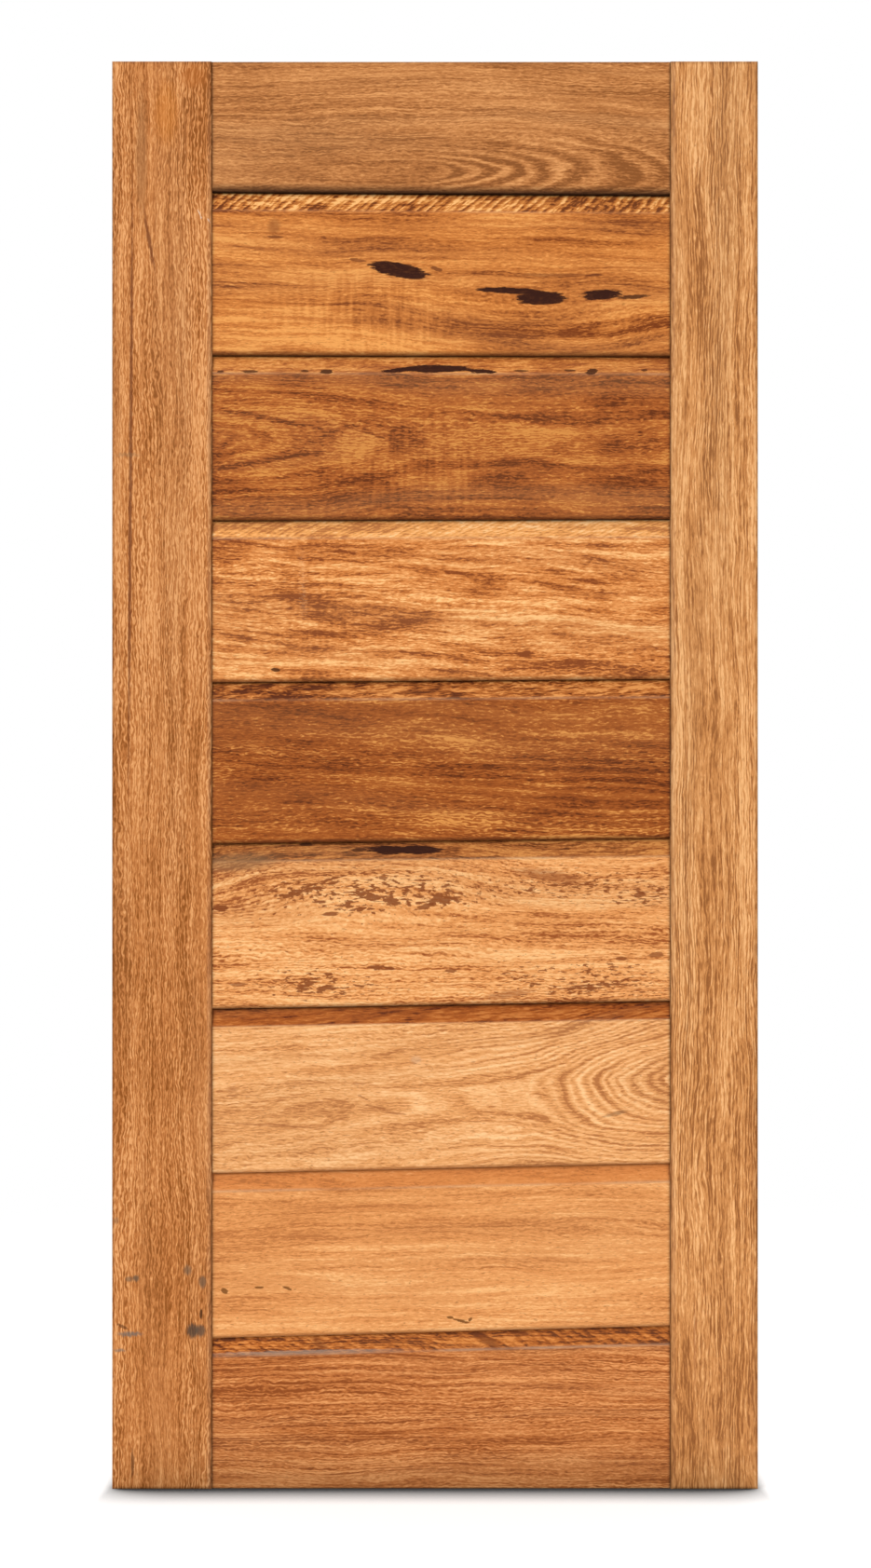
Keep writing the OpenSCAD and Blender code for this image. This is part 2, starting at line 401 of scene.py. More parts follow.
def sweep(name, node, section, run, sizes, wood, seed, pockets=()):
    """Sweeps a piece with the timber tree, makes it a plain mesh and lets it stand for its solid."""
    piece = polyline(name, section, closed=True)
    guide = polyline(name + "_run", run, closed=False)
    modifier = piece.modifiers.new("timber", "NODES")
    modifier.node_group = TIMBER
    values = dict(sizes, **{"Run": guide, "Wood": wood, "Seed": float(seed),
                            "Unevenness": UNEVENNESS, "Arris wear": ARRIS_WEAR})
    for socket in TIMBER.interface.items_tree:
        if socket.in_out == "INPUT" and socket.name in values:
            modifier[socket.identifier] = values[socket.name]
    graph = bpy.context.evaluated_depsgraph_get()
    mesh = bpy.data.meshes.new_from_object(piece.evaluated_get(graph))
    piece.modifiers.clear()
    outline = piece.data
    piece.data = mesh
    mesh.name = name
    bpy.data.meshes.remove(outline)
    bpy.data.objects.remove(guide)
    for field in ("depth", "share", "offset", "open", "along", "reach", "bare"):
        mesh.attributes.remove(mesh.attributes[field])
    press_pockets(mesh, pockets)
    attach(piece, "root")
    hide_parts(node)


TIMBER = timber_tree()
# A corner this close to a shoulder lies on it
SHOULDER_WITHIN = 0.01


def edge_height(node, x):
    """Height of a board's bottom edge at one of its shoulders, read from its solid."""
    corners = np.array([corner.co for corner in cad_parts[node].data.vertices]) / MM
    return corners[np.abs(corners[:, 0] - x) < SHOULDER_WITHIN, 2].min()


def board_run():
    """Stations along a board: the left tongue, the face between the shoulders, the right tongue."""
    tongue = END_TONGUE_THICK / 2
    steps = round((PANEL_RIGHT - PANEL_LEFT) / SHOW_STEP)
    run = [Station(PANEL_LEFT - END_TONGUE_LENGTH, tongue, 0.0), Station(PANEL_LEFT, tongue, 0.0)]
    for x in np.linspace(PANEL_LEFT, PANEL_RIGHT, steps + 1):
        inside = min(x - PANEL_LEFT, PANEL_RIGHT - x)
        # Shade is painted on the face close to each stile
        soil = END_SHADE * max(0.0, 1 - inside / END_SHADE_REACH)
        run.append(Station(x, LEAF_THICK, min(1.0, inside / EVEN_WITHIN), soil))
    run += [Station(PANEL_RIGHT, tongue, 0.0), Station(PANEL_RIGHT + END_TONGUE_LENGTH, tongue, 0.0)]
    return run


def stile_run():
    """Stations up a stile, drawn in a little at the eased ends."""
    half = LEAF_THICK / 2
    arc = [(rise, half - inset) for inset, rise in reversed(ease(EDGE_EASE))]
    steps = round((LEAF_HEIGHT - 2 * EDGE_EASE) / SHOW_STEP)
    middle = np.linspace(EDGE_EASE, LEAF_HEIGHT - EDGE_EASE, steps + 1)[1:-1]
    # Shade is painted on the eased ends
    run = [Station(rise, reach, 0.0, OUTER_EDGE_SHADE) for rise, reach in arc]
    run += [Station(z, half, 1.0) for z in middle]
    run += [Station(LEAF_HEIGHT - rise, reach, 0.0, OUTER_EDGE_SHADE) for rise, reach in reversed(arc)]
    return run


# Wood

# A patch with a colour of its own, laid over the grain: its place along and up the leaf, its half length
# along the grain, its half width and its turn
Mark = namedtuple("Mark", "x z length width turn colour strength softness", defaults=(1.0, 0.2))
# Where the growth rings are centred, how deep their centre lies behind the face there, how that
# depth and place change for each millimetre along the piece, and the least and most it may be
Rings = namedtuple("Rings", "x z depth slope climb least most", defaults=(0.0, 0.0, 15.0, 1000.0))
# The wood laid open on the bevel: its tones, the turn and weight of its slanting figure, and the
# pitch and weight of its hatching
Bevel = namedtuple("Bevel", "tones turn weight pitch hatch", defaults=(8.0, 0.0))
# How strongly broad bands, ring streaks, fibres, fine squiggles, clouds, thin dark veins and pale
# flecks show, how far the squiggles curl, in radians, and how long a curl, a streak and a fibre are
Weights = namedtuple("Weights", "bands streaks fibres squiggles clouds veins flecks swirl curl run fibre",
                     defaults=(0.6, 1.4, 0.6, 0.5, 0.2, 0.08, 0.25, 12.0, 12.0, 240.0, 9.0))
# One piece's wood: the tones of its grain from dark to pale, how its patterns run and show, the colour
# and amount of the pale line on its worn arris, which is partly a painted highlight, how much it has
# greyed, and the patches on its show face. Each patch is a row with a mark's first five numbers and an
# amount: of tone, or in millimetres for a bow, which bends the grain aside. The rows of lines end in their
# pitch.
Wood = namedtuple("Wood", "tones rings weights ring_width bevel worn wear grey lines shades bows ribs"
                  " specks marks",
                  defaults=(Weights(), 12.0, None, "#BA9B7D", 0.6, 0.15, (), (), (), (), (), ()))
# What the patterns of a wood give at each place
Patterns = namedtuple("Patterns", "bands streaks fibres squiggles clouds veins flecks pores greyer")

# Colours of what lies over the wood
GREYED = "#9C7A55"
GUM = "#381A10"
GUM_RIM = "#6E371B"
RUST = "#82421E"
SMEAR = "#9C5B31"
IRON = "#66513E"
CRACK = "#4A2812"
FLECK = "#7A4A20"
PORE = "#86481C"
# The colour of the shade painted in the joints, under the boards' bottom edges, on eased edges and at the
# boards' ends
SHADE_COLOUR = "#1A0B05"

# Sizes of the patterns along the grain, across it and into the wood
BAND_LENGTH = 700.0
VEIN_LENGTH = 420.0
CURL_WIDTH = 5.0
FRAY_SIZE = (15.0, 2.2, 2.2)
WANDER_SIZE = (340.0, 90.0, 90.0)
WAVE_SIZE = (46.0, 14.0, 14.0)
CLOUD_SIZE = (120.0, 42.0, 42.0)
SPECK_SIZE = (12.0, 3.2, 3.2)
RIB_SIZE = (7.0, 60.0, 60.0)
SLANT_SIZE = (34.0, 7.0, 7.0)
# Fibres, pores and squiggles are drawn coarser than the real ones, so that they show in the picture
FIBRE_WIDTH = 2.1
PORE_SIZE = (8.5, 2.0, 2.0)
SQUIGGLE_PITCH = 4.4
# How far the grain wanders and waves to each side, and how gently the pith's depth is limited
WANDER = 16.0
WAVE = 2.6
PITH_EASE = 12.0
# How far a patch reaches into the wood, and how far its edge is frayed along and across the grain
PATCH_DEPTH = 20.0
FRAY_ALONG = 42.0
FRAY_ACROSS = 6.0
# A patch whose half length is this, or whose half width is twice this, or larger, is fully frayed
FRAY_FROM = 26.0
# How strongly a pattern moves the tone, and how far the lines and the hatching swing, in radians
TONE_GAIN = 1.6
LINE_SWING = 9.0
HATCH_SWING = 10.0


class Grain:
    """The places in a piece's wood that its patterns are drawn from: square along the grain, then as the
    grain wanders and waves, then rolled out from the pith. Lengths in it are in millimetres."""

    def __init__(self, tree, upright, seed, wood):
        put = partial(add, tree)
        self.put = put
        self.upright = upright
        self.seed = seed
        self.front = LEAF_FRONT if upright else BOARD_FRONT
        place = put("ShaderNodeTexCoord")["Object"]
        in_mm = put(VECTOR, {0: place, "Scale": 1 / MM}, "SCALE")[0]
        x, y, z = put(SPLIT, (in_mm,))
        self.square = put(JOIN, (*self.lengthwise(x, z), y))[0]
        rough = self.figure(self.square, FRAY_SIZE, 3.0, 71.0, roughness=0.7, output=1)
        self.fray = put(VECTOR, (rough, (0.5, 0.5, 0.5)), "SUBTRACT")[0]
        bowed = self.square
        for bow in wood.bows:
            aside = put(JOIN, {1: self.patch(*bow)})[0]
            bowed = put(VECTOR, (bowed, aside), "ADD")[0]
        self.wandering = self.bend(bowed, WANDER_SIZE, WANDER, 1.7)
        self.wavy = self.bend(self.wandering, WAVE_SIZE, WAVE, 5.3)
        self.along, self.across, self.depth = put(SPLIT, (self.wavy,))
        self.radius = self.from_pith(wood.rings)
        self.ringed = put(JOIN, (self.along, self.radius))[0]

    def lengthwise(self, x, z):
        """A place on the leaf as a place along the grain and across it."""
        return (z, x) if self.upright else (x, z)

    def figure(self, vector, spacing, detail, shift, roughness=0.55, output=0):
        """Noise whose features are about as long, wide and deep as the spacing. The shift sets it apart
        from the other figures of the piece."""
        scaled = self.put(VECTOR, (vector, [1 / size for size in spacing], [self.seed + shift] * 3),
                          "MULTIPLY_ADD")[0]
        return self.put(NOISE, {"Vector": scaled, "Scale": 1.0, "Detail": detail,
                                "Roughness": roughness})[output]

    def bend(self, vector, spacing, amount, shift):
        """Moves a place across the grain by noise, up to about the amount each way."""
        drift = self.figure(vector, spacing, 2.0, shift, output=1)
        moved = self.put(VECTOR, (drift, (0, 2 * amount, 2 * amount), (0, -amount, -amount)),
                         "MULTIPLY_ADD")[0]
        return self.put(VECTOR, (vector, moved), "ADD")[0]

    def from_pith(self, rings):
        """Distance from the pith, whose depth and height change along the piece."""
        put = self.put
        ring_along, ring_across = self.lengthwise(rings.x, rings.z)
        past = put(MATH, (self.along, ring_along), "SUBTRACT")[0]
        axis = put(MATH, (past, rings.climb, ring_across), "MULTIPLY_ADD")[0]
        aside = put(MATH, (self.across, axis), "SUBTRACT")[0]
        centre = put(MATH, (past, rings.slope, rings.depth), "MULTIPLY_ADD")[0]
        raised = put(MATH, (centre, rings.least, PITH_EASE), "SMOOTH_MAX")[0]
        limited = put(MATH, (raised, rings.most, PITH_EASE), "SMOOTH_MIN")[0]
        behind = put(MATH, (self.depth, self.front), "SUBTRACT")[0]
        below = put(MATH, (limited, behind), "ADD")[0]
        to_pith = put(JOIN, (aside, below))[0]
        return put(VECTOR, (to_pith,), "LENGTH")["Value"]

    def patch(self, x, z, length, width, turn, amount, softness=1.0):
        """The amount inside an ellipse on the show face, falling to 0 at its frayed edge."""
        ragged = min(1.0, max(length, width / 2) / FRAY_FROM)
        frayed = self.put(VECTOR, (self.fray, (FRAY_ALONG * ragged, FRAY_ACROSS * ragged, 0), self.square),
                          "MULTIPLY_ADD")[0]
        centre = (*self.lengthwise(x, z), self.front)
        local = self.put("ShaderNodeMapping", (frayed, centre, (0, 0, math.radians(turn)),
                                               (length, width, PATCH_DEPTH)), vector_type="TEXTURE")[0]
        out = self.put(VECTOR, (local,), "LENGTH")["Value"]
        return self.put(RANGE, (out, 1.0 + 0.4 * softness, 1.0 - 0.6 * softness, 0.0, amount), **SMOOTH)[0]

    def sway(self, tone, pattern, weight):
        """A tone moved up or down by a pattern that lies about 0.5."""
        middled = self.put(MATH, (pattern, 0.5), "SUBTRACT")[0]
        return self.put(MATH, (middled, weight, tone), "MULTIPLY_ADD")[0]

    def ripple(self, place, pitch, drift, swing):
        """Waves over a place, which a drifting pattern swings to and fro."""
        turn = self.put(MATH, (place, 2 * math.pi / pitch), "MULTIPLY")[0]
        phase = self.put(MATH, (drift, swing, turn), "MULTIPLY_ADD")[0]
        return self.put(MATH, (phase,), "SINE")[0]


def draw_patterns(grain, wood):
    """The patterns of the grain. The veins, flecks and pores start at 0, and the rest lie about 0.5."""
    put, figure = grain.put, grain.figure
    weights, width = wood.weights, wood.ring_width
    broad = figure(grain.ringed, (BAND_LENGTH, 4 * width, 1), 1.0, 11.0, output=1)
    bands, greyer, curly = put("ShaderNodeSeparateColor", (broad,))
    streaks = figure(grain.ringed, (weights.run, 0.8 * width, 1), 2.5, 23.0, roughness=0.7)
    clouds = figure(grain.wandering, CLOUD_SIZE, 2.0, 19.0)
    fibres = figure(grain.wavy, (weights.fibre, FIBRE_WIDTH, FIBRE_WIDTH), 2.0, 37.0, roughness=0.6)
    dots = figure(grain.wavy, PORE_SIZE, 1.0, 51.0)
    flecks = put(RANGE, (dots, 0.42, 0.28), **SMOOTH)[0]
    pores = put(RANGE, (dots, 0.6, 0.76, 0.0, 0.45), **SMOOTH)[0]
    curl = figure(grain.wavy, (weights.curl, CURL_WIDTH, CURL_WIDTH), 1.0, 90.0)
    wave = grain.ripple(grain.across, SQUIGGLE_PITCH, curl, weights.swirl)
    ridge = put(RANGE, (wave, -0.6, 1.0, -0.45, 0.6), **SMOOTH)[0]
    shown = put(RANGE, (curly, 0.3, 0.7, 0.1, 0.36))[0]
    squiggles = put(MATH, (ridge, shown, 0.5), "MULTIPLY_ADD")[0]
    course = figure(grain.ringed, (VEIN_LENGTH, 1.5 * width, 1), 2.0, 43.0)
    veins = put(MATH, (course, 0.5, 0.035), "COMPARE")[0]
    return Patterns(bands, streaks, fibres, squiggles, clouds, veins, flecks, pores, greyer)


def wood_tone(grain, patterns, wood):
    """How pale the wood is, from 0 to 1, and how high its grain stands."""
    put, weights = grain.put, wood.weights
    tone = 0.5
    for pattern, weight in zip(patterns[:5], weights):
        tone = grain.sway(tone, pattern, TONE_GAIN * weight)
    tone = put(MATH, (patterns.veins, -weights.veins, tone), "MULTIPLY_ADD")[0]
    tone = put(MATH, (patterns.flecks, weights.flecks, tone), "MULTIPLY_ADD")[0]
    relief = put(MATH, (tone, patterns.pores), "SUBTRACT")[0]
    for *area, pitch in wood.lines:
        wave = grain.ripple(grain.radius, pitch, patterns.bands, LINE_SWING)
        shown = put(MATH, (grain.patch(*area), patterns.streaks), "MULTIPLY")[0]
        tone = put(MATH, (wave, shown, tone), "MULTIPLY_ADD")[0]
    streaky = put(MATH, (patterns.streaks, TONE_GAIN, 0.2), "MULTIPLY_ADD")[0]
    for shade in wood.shades:
        tone = put(MATH, (grain.patch(*shade), streaky, tone), "MULTIPLY_ADD")[0]
    for rib in wood.ribs:
        tone = grain.sway(tone, grain.figure(grain.wandering, RIB_SIZE, 1.0, 83.0), grain.patch(*rib))
    return tone, relief


def bevel_colour(grain, tone, bevel):
    """The wood laid open on the bevel, where the figure slants and may be hatched."""
    put = grain.put
    slanted = put("ShaderNodeMapping", {0: grain.wandering, 2: (0, 0, -math.radians(bevel.turn))})[0]
    slant = grain.figure(slanted, SLANT_SIZE, 2.0, 97.0)
    tone = grain.sway(tone, slant, TONE_GAIN * bevel.weight)
    if bevel.hatch:
        over = put(SPLIT, (slanted,))[1]
        wave = grain.ripple(over, bevel.pitch, slant, HATCH_SWING)
        tone = put(MATH, (wave, bevel.hatch, tone), "MULTIPLY_ADD")[0]
    return put(RAMP, (tone,), stops=bevel.tones)[0]


def overlays(grain, patterns, wood, told):
    """The colours that lie over the wood, from the lowest up: how much of each shows, and whether it
    lies in a hollow. Each is mixed in before the next is made, so that few values wait."""
    put = grain.put
    yield GREYED, put(RANGE, (patterns.greyer, 0.45, 0.75, 0.0, wood.grey))[0], False
    yield PORE, patterns.pores, True
    patchy = put(RANGE, (patterns.clouds, 0.38, 0.6, 0.35 * wood.wear, wood.wear))[0]
    # The pale line on the arrises: worn wood and a painted highlight
    yield wood.worn, put(MATH, (told["arris"], patchy), "MULTIPLY")[0], False
    if wood.specks:
        near = 0.0
        for speck in wood.specks:
            near = put(MATH, (near, grain.patch(*speck)), "MAXIMUM")[0]
        dots = grain.figure(grain.wavy, SPECK_SIZE, 2.0, 61.0)
        level = put(MATH, (dots, near), "ADD")[0]
        yield RUST, put(RANGE, (level, 0.68, 0.76, 0.0, 0.9), **SMOOTH)[0], True
    broken = put(RANGE, (patterns.fibres, 0.32, 0.5, 0.93, 1.0))[0]
    for mark in wood.marks:
        *area, colour, strength, softness = Mark(*mark)
        amount = grain.patch(*area, strength, softness)
        yield colour, put(MATH, (amount, broken), "MULTIPLY")[0], True
    # Painted shade: in the joints, under the bottom edges, on the eased edges and at the boards' ends
    yield SHADE_COLOUR, put(MATH, (told["grime"], told["soil"]), "MAXIMUM")[0], False


def eucalypt(name, upright, seed, wood):
    """Oiled reclaimed eucalypt: fine wavy fibres over streaks that follow the growth rings, which
    gives the eye a silky, uneven satin with dark gum pockets and greyer worn arrises. A pale highlight is
    painted along the arrises with the wear, and shade is painted in the joints, under the bottom edges,
    on the eased edges and at the boards' ends."""
    material = blank_material(name)
    grain = Grain(material.node_tree, upright, seed, wood)
    put = grain.put
    patterns = draw_patterns(grain, wood)
    tone, relief = wood_tone(grain, patterns, wood)
    told = {field: put("ShaderNodeAttribute", attribute_name=field)["Fac"]
            for field in ("band", "arris", "grime", "soil")}
    colour = put(RAMP, (tone,), stops=wood.tones)[0]
    if wood.bevel:
        laid_open = bevel_colour(grain, tone, wood.bevel)
        cut = put(RANGE, (told["band"], 0.3, 0.8), **SMOOTH)[0]
        colour = put(MIX, {0: cut, 6: colour, 7: laid_open}, data_type="RGBA")[2]
    sunk = 0.0
    for code, amount, hollow in overlays(grain, patterns, wood, told):
        colour = put(MIX, {0: amount, 6: colour, 7: linear(code)}, data_type="RGBA")[2]
        if hollow:
            sunk = put(MATH, (sunk, amount), "MAXIMUM")[0]
    normal = put("ShaderNodeBump", {"Strength": 0.2, "Distance": 0.5 * MM, "Height": relief})[0]
    satin = put(RANGE, (patterns.streaks, 0.3, 0.7, 0.42, 0.6))[0]
    roughness = put(MATH, (sunk, 0.3, satin), "MULTIPLY_ADD")[0]
    shader = put(PRINCIPLED, {"Base Color": colour, "Roughness": roughness, "Normal": normal,
                              "Specular IOR Level": 0.1})[0]
    put("ShaderNodeOutputMaterial", {"Surface": shader})
    return material


# The boards from the top down, and the stiles
BOARD_WOODS = {
    1: Wood(
        tones=("#8A5226", "#AF6E3A", "#C6844B", "#DC9A5E"), rings=Rings(119, 1941, 30, 0.12),
        weights=Weights(0.4, 1.0, 0.8, 0.7, 0.4), ring_width=8.0,
        lines=((190, 1940, 220, 36, 0, 0.75, 6.4),),
        shades=(
            (-284, 2092, 60, 10, 0, -0.25), (0, 1935, 420, 38, 0, -0.14), (10, 2050, 140, 45, 0, 0.11),
            (285, 2040, 80, 50, 0, -0.15))),
    2: Wood(
        tones=("#783811", "#B7692C", "#D3833E", "#EAA055"), rings=Rings(0, 1540, 90, 0, -0.03),
        weights=Weights(0.7, 1.1, 0.6, 0.5, 0.5),
        bevel=Bevel(("#6C330E", "#B3662A", "#D68A42", "#FABB74"), 42, 1.5, 9.0, 0.24), wear=0.25,
        ribs=((-95, 1730, 130, 70, 0, 0.8),), bows=((120, 1690, 190, 70, 0, 20.0),),
        shades=(
            (105, 1686, 66, 16, 0, -0.3), (218, 1708, 44, 9, 9, -0.3), (-107, 1730, 58, 46, 0, -0.14),
            (-230, 1700, 120, 40, 0, 0.1), (-262, 1800, 110, 100, 0, 0.16), (228, 1825, 130, 50, 0, -0.2),
            (-170, 1894, 200, 10, 0, 0.12), (240, 1894, 130, 10, 0, -0.25)),
        marks=(
            (-237, 1858, 9, 12, 0, GUM_RIM, 0.45, 0.9), (-236, 1842, 12, 2.5, 0, GUM_RIM, 0.8, 0.6),
            (-53, 1793, 45, 11, -11, GUM), (-115, 1808, 12, 2.5, -8, GUM_RIM, 0.7),
            (2, 1795, 9, 3, -20, GUM_RIM, 0.8), (110, 1763, 49, 4.6, -2, GUM), (156, 1752, 38, 10, 1, GUM),
            (245, 1757, 30, 7.5, 4, GUM), (293, 1754, 23, 3, 3, GUM, 0.85),
            (234, 1786, 12, 1.8, 3, GUM_RIM, 0.9), (171, 1786, 52, 2.5, 0, GUM_RIM, 0.5))),
    3: Wood(
        tones=("#663010", "#9E5321", "#B7682D", "#D38B43"), rings=Rings(-153, 1543, 50, 0.15, most=66.0),
        bevel=Bevel(("#944A1C", "#BE6D2E", "#D88A42", "#EAA058"), 12, 0.5), wear=0.35, ring_width=9.0,
        weights=Weights(0.8, 1.1, 0.8, 0.7, 0.9, 0.1, 0.4), lines=((-230, 1543, 190, 90, 0, 0.18, 13.0),),
        ribs=((-30, 1510, 150, 90, 0, 0.7),),
        shades=(
            (-256, 1560, 90, 44, 0, 0.15), (-48, 1543, 32, 28, 0, -0.28), (306, 1536, 70, 18, 0, -0.25),
            (137, 1577, 75, 7, 2, -0.3), (192, 1467, 150, 11, 0, -0.2), (-92, 1478, 30, 7, 0, -0.3),
            (-160, 1545, 28, 11, 25, -0.35), (-105, 1558, 42, 4, -21, -0.5),
            (-250, 1576, 95, 4, -11, -0.5), (-252, 1512, 90, 4, 9, -0.5), (-130, 1480, 90, 45, 0, -0.24),
            (285, 1482, 70, 45, 0, -0.18), (230, 1655, 120, 10, 0, 0.13)),
        marks=(
            (1, 1648.5, 52, 6.2, 0, GUM), (-50, 1646.5, 28, 3.4, 6, GUM), (66, 1645, 22, 3.4, -4, GUM),
            (-316, 1644, 5, 2, 0, GUM, 0.8), (-272, 1644, 13, 2.2, 0, GUM, 0.8),
            (-192, 1645, 7, 2, 0, GUM, 0.8), (-160, 1644, 10, 3.5, 0, GUM, 0.9),
            (126, 1645, 11, 1.8, 0, GUM, 0.8), (199, 1646, 9, 1.6, 0, GUM, 0.8),
            (231, 1644, 9, 4.5, 15, GUM, 0.9), (308, 1646, 5, 1.8, 0, GUM, 0.8))),
    4: Wood(
        tones=("#86431C", "#CA7838", "#E79B58", "#FFC582"), rings=Rings(0, 1000, 120, 0, -0.06),
        bevel=Bevel(("#B9703A", "#E29850", "#F6AE66", "#FFCB8E"), 25, 0.9, 5.0, 0.14), wear=0.35,
        weights=Weights(0.6, 1.4, 0.8, 0.5, 0.6, run=130.0), ribs=((-180, 1290, 110, 100, 0, 0.4),),
        marks=((-234, 1205, 7, 3, -5, CRACK, 0.9), (-195, 1330, 1.6, 54, 0, "#F0C898", 0.2, 0.8)),
        shades=(
            (-171, 1379, 54, 17, 0, -0.32), (-184, 1309, 46, 9, 0, -0.32), (-166, 1283, 35, 6, -3, -0.3),
            (-133, 1257, 110, 7, -3, -0.3), (-193, 1234, 54, 7, 0, -0.32), (38, 1338, 80, 20, -8, -0.22),
            (92, 1268, 40, 9, -5, -0.35), (134, 1228, 12, 5, 0, -0.6), (237, 1206, 115, 13, 0, -0.22),
            (-188, 1204, 52, 11, 0, -0.35), (-304, 1382, 35, 22, 0, -0.25),
            (-150, 1350, 190, 60, 0, -0.09), (120, 1350, 150, 55, 0, 0.08), (-270, 1414, 70, 10, 0, -0.34),
            (150, 1414, 110, 10, 0, 0.2))),
    5: Wood(
        tones=("#5E2A0C", "#924A1A", "#AA5D25", "#D89048"), rings=Rings(0, 1400, 150, 0, -0.05),
        bevel=Bevel(("#5C270A", "#97501D", "#BE6F31", "#E09550"), 6, 1.5), wear=0.5, worn="#B48C6C",
        weights=Weights(0.4, 0.6, 0.6, 0.9, 0.6, 0.1, 0.3, 16.0, 16.0), grey=0.08,
        lines=((200, 1020, 220, 80, -5, 0.35, 15.0),),
        shades=(
            (-16, 1108, 85, 22, 0, 0.22), (32, 984, 80, 16, 0, 0.22), (244, 1108, 90, 18, -5, 0.15),
            (-270, 1120, 80, 40, 0, -0.15), (250, 1050, 130, 30, -5, -0.08), (-265, 1177, 70, 10, 0, -0.3),
            (175, 1177, 45, 10, 0, -0.12), (285, 1177, 70, 10, 0, 0.38))),
    6: Wood(
        tones=("#9C5326", "#DA8F4F", "#ECA767", "#F8C082"), rings=Rings(0, 600, 100),
        weights=Weights(0.6, 1.3, 0.8, 0.8, 0.3, 0.06),
        bevel=Bevel(("#5E2E0E", "#955324", "#B66D33", "#D08A47"), 10, 1.0), wear=0.5, worn="#B08E6C",
        bows=((-110, 915, 210, 80, 0, -26.0),),
        shades=(
            (189, 823, 155, 28, 0, -0.18), (4, 902, 70, 20, 0, 0.2), (-263, 779, 80, 45, 0, 0.15),
            (-100, 941, 120, 10, 0, 0.15), (285, 941, 70, 10, 0, -0.12)),
        specks=(
            (-90, 880, 200, 36, 0, 0.17), (300, 876, 60, 28, 0, 0.16), (200, 890, 130, 24, 0, 0.15),
            (-180, 742, 110, 24, 0, 0.14), (220, 745, 160, 40, 0, 0.14), (-82, 869, 56, 7, -9, 0.34),
            (-177, 886, 60, 7, 17, 0.28), (12, 868, 38, 12, 12, 0.32), (-190, 741, 18, 8, 30, 0.36),
            (-162, 736, 18, 5, 5, 0.34), (237, 740, 70, 6, 8, 0.29), (-213, 872, 26, 5, 5, 0.3),
            (-109, 852, 22, 5, 5, 0.3), (-153, 896, 24, 5, 15, 0.29), (189, 890, 32, 5, 0, 0.27),
            (-76, 766, 24, 4.5, 0, 0.29)),
        marks=(
            (-70, 940, 30, 6.8, 0, GUM), (-24, 940, 36, 6.8, 0, GUM), (-112, 940, 13, 3.5, 0, GUM, 0.8),
            (-190, 948, 11, 3, 0, GUM, 0.8), (-291, 922, 60, 14, 4, "#8A6543", 0.6, 0.9),
            (-315, 854, 11, 5, 0, RUST, 0.95), (168, 902, 52, 9, -8, SMEAR, 0.6, 0.8),
            (108, 727, 38, 6, 9, SMEAR, 0.6, 0.9), (-154, 846, 12, 3.2, 5, RUST, 0.85),
            (-76, 899, 8, 3, 0, RUST, 0.8), (-14, 857, 13, 4, 15, RUST, 0.85),
            (301, 874, 10, 4, 10, RUST, 0.85), (-290, 742, 13, 3, 0, RUST, 0.7),
            (23, 762, 9, 2.6, 0, RUST, 0.8), (326, 786, 11, 4, 5, RUST, 0.75),
            (274, 780, 9, 3, 0, RUST, 0.75))),
    7: Wood(
        tones=("#B4713F", "#DC985A", "#EDAE72", "#F8C58C"),
        rings=Rings(258, 585, 66, -0.25, 0.1, most=92.0),
        bevel=Bevel(("#60260A", "#984C18", "#AE5D22", "#C67838"), 8, 1.0), wear=0.2, ring_width=8.5,
        weights=Weights(0.5, 0.8, 0.7, 0.5, 0.2, 0.2, fibre=14.0),
        lines=((250, 588, 260, 150, 0, 0.45, 5.0), (262, 588, 110, 80, 0, 0.25, 23.0)),
        shades=(
            (-67, 562, 50, 12, 6, -0.3), (4, 557, 40, 15, 0, 0.2), (196, 675, 45, 7, 24, -0.3),
            (-265, 640, 80, 40, 0, -0.1), (-265, 525, 70, 45, 0, 0.12), (-240, 697, 110, 9, 0, -0.17),
            (110, 700, 190, 9, 0, 0.2)),
        marks=(
            (-299, 587, 9, 5, 0, SMEAR, 0.4, 0.9), (-299, 578, 9, 1.4, 0, SMEAR, 0.6),
            (-85, 561, 22, 1.6, -12, SMEAR, 0.6, 0.5), (-60, 553, 18, 1.5, -8, SMEAR, 0.6, 0.5),
            (-105, 575, 10, 1.6, -30, SMEAR, 0.6, 0.5), (-112, 596, 12, 1.5, 0, SMEAR, 0.5, 0.5),
            (-245, 535, 85, 1.6, -3, SMEAR, 0.5, 0.6), (266, 552, 20, 3, 12, "#8E6440", 0.65, 0.7),
            (-28, 631, 8, 6, 0, "#C9A98A", 0.35, 1.0))),
    8: Wood(
        tones=("#B66F3A", "#D68D4F", "#E59F60", "#F4B97A"), rings=Rings(0, 900, 200, 0, 0.02),
        bevel=Bevel(("#B46C36", "#D18142", "#DA8C4C", "#E59E60"), 4, 0.3), wear=0.4,
        weights=Weights(0.6, 0.9, 0.6, 0.5, 0.25, 0.13, 0.25), grey=0.1,
        shades=((0, 300, 460, 55, 1, 0.1), (0, 405, 460, 45, 1, -0.08), (120, 405, 130, 45, 1, 0.12)),
        marks=(
            (-310, 291, 6, 4, -30, FLECK, 0.9), (-259, 296, 7, 1.8, 0, FLECK, 0.9),
            (-218, 295, 8, 2, -20, FLECK, 0.9), (38, 247, 14, 2, -14, FLECK, 0.95),
            (52, 249, 4, 2, 40, FLECK, 0.9), (22, 252, 5, 2, 0, FLECK, 0.9))),
    9: Wood(
        tones=("#8E4A1E", "#B86B34", "#CC8147", "#E39B5E"), rings=Rings(0, -200, 120),
        weights=Weights(0.7, 1.4, 0.8, 1.0, 0.3, 0.14), ring_width=6.5,
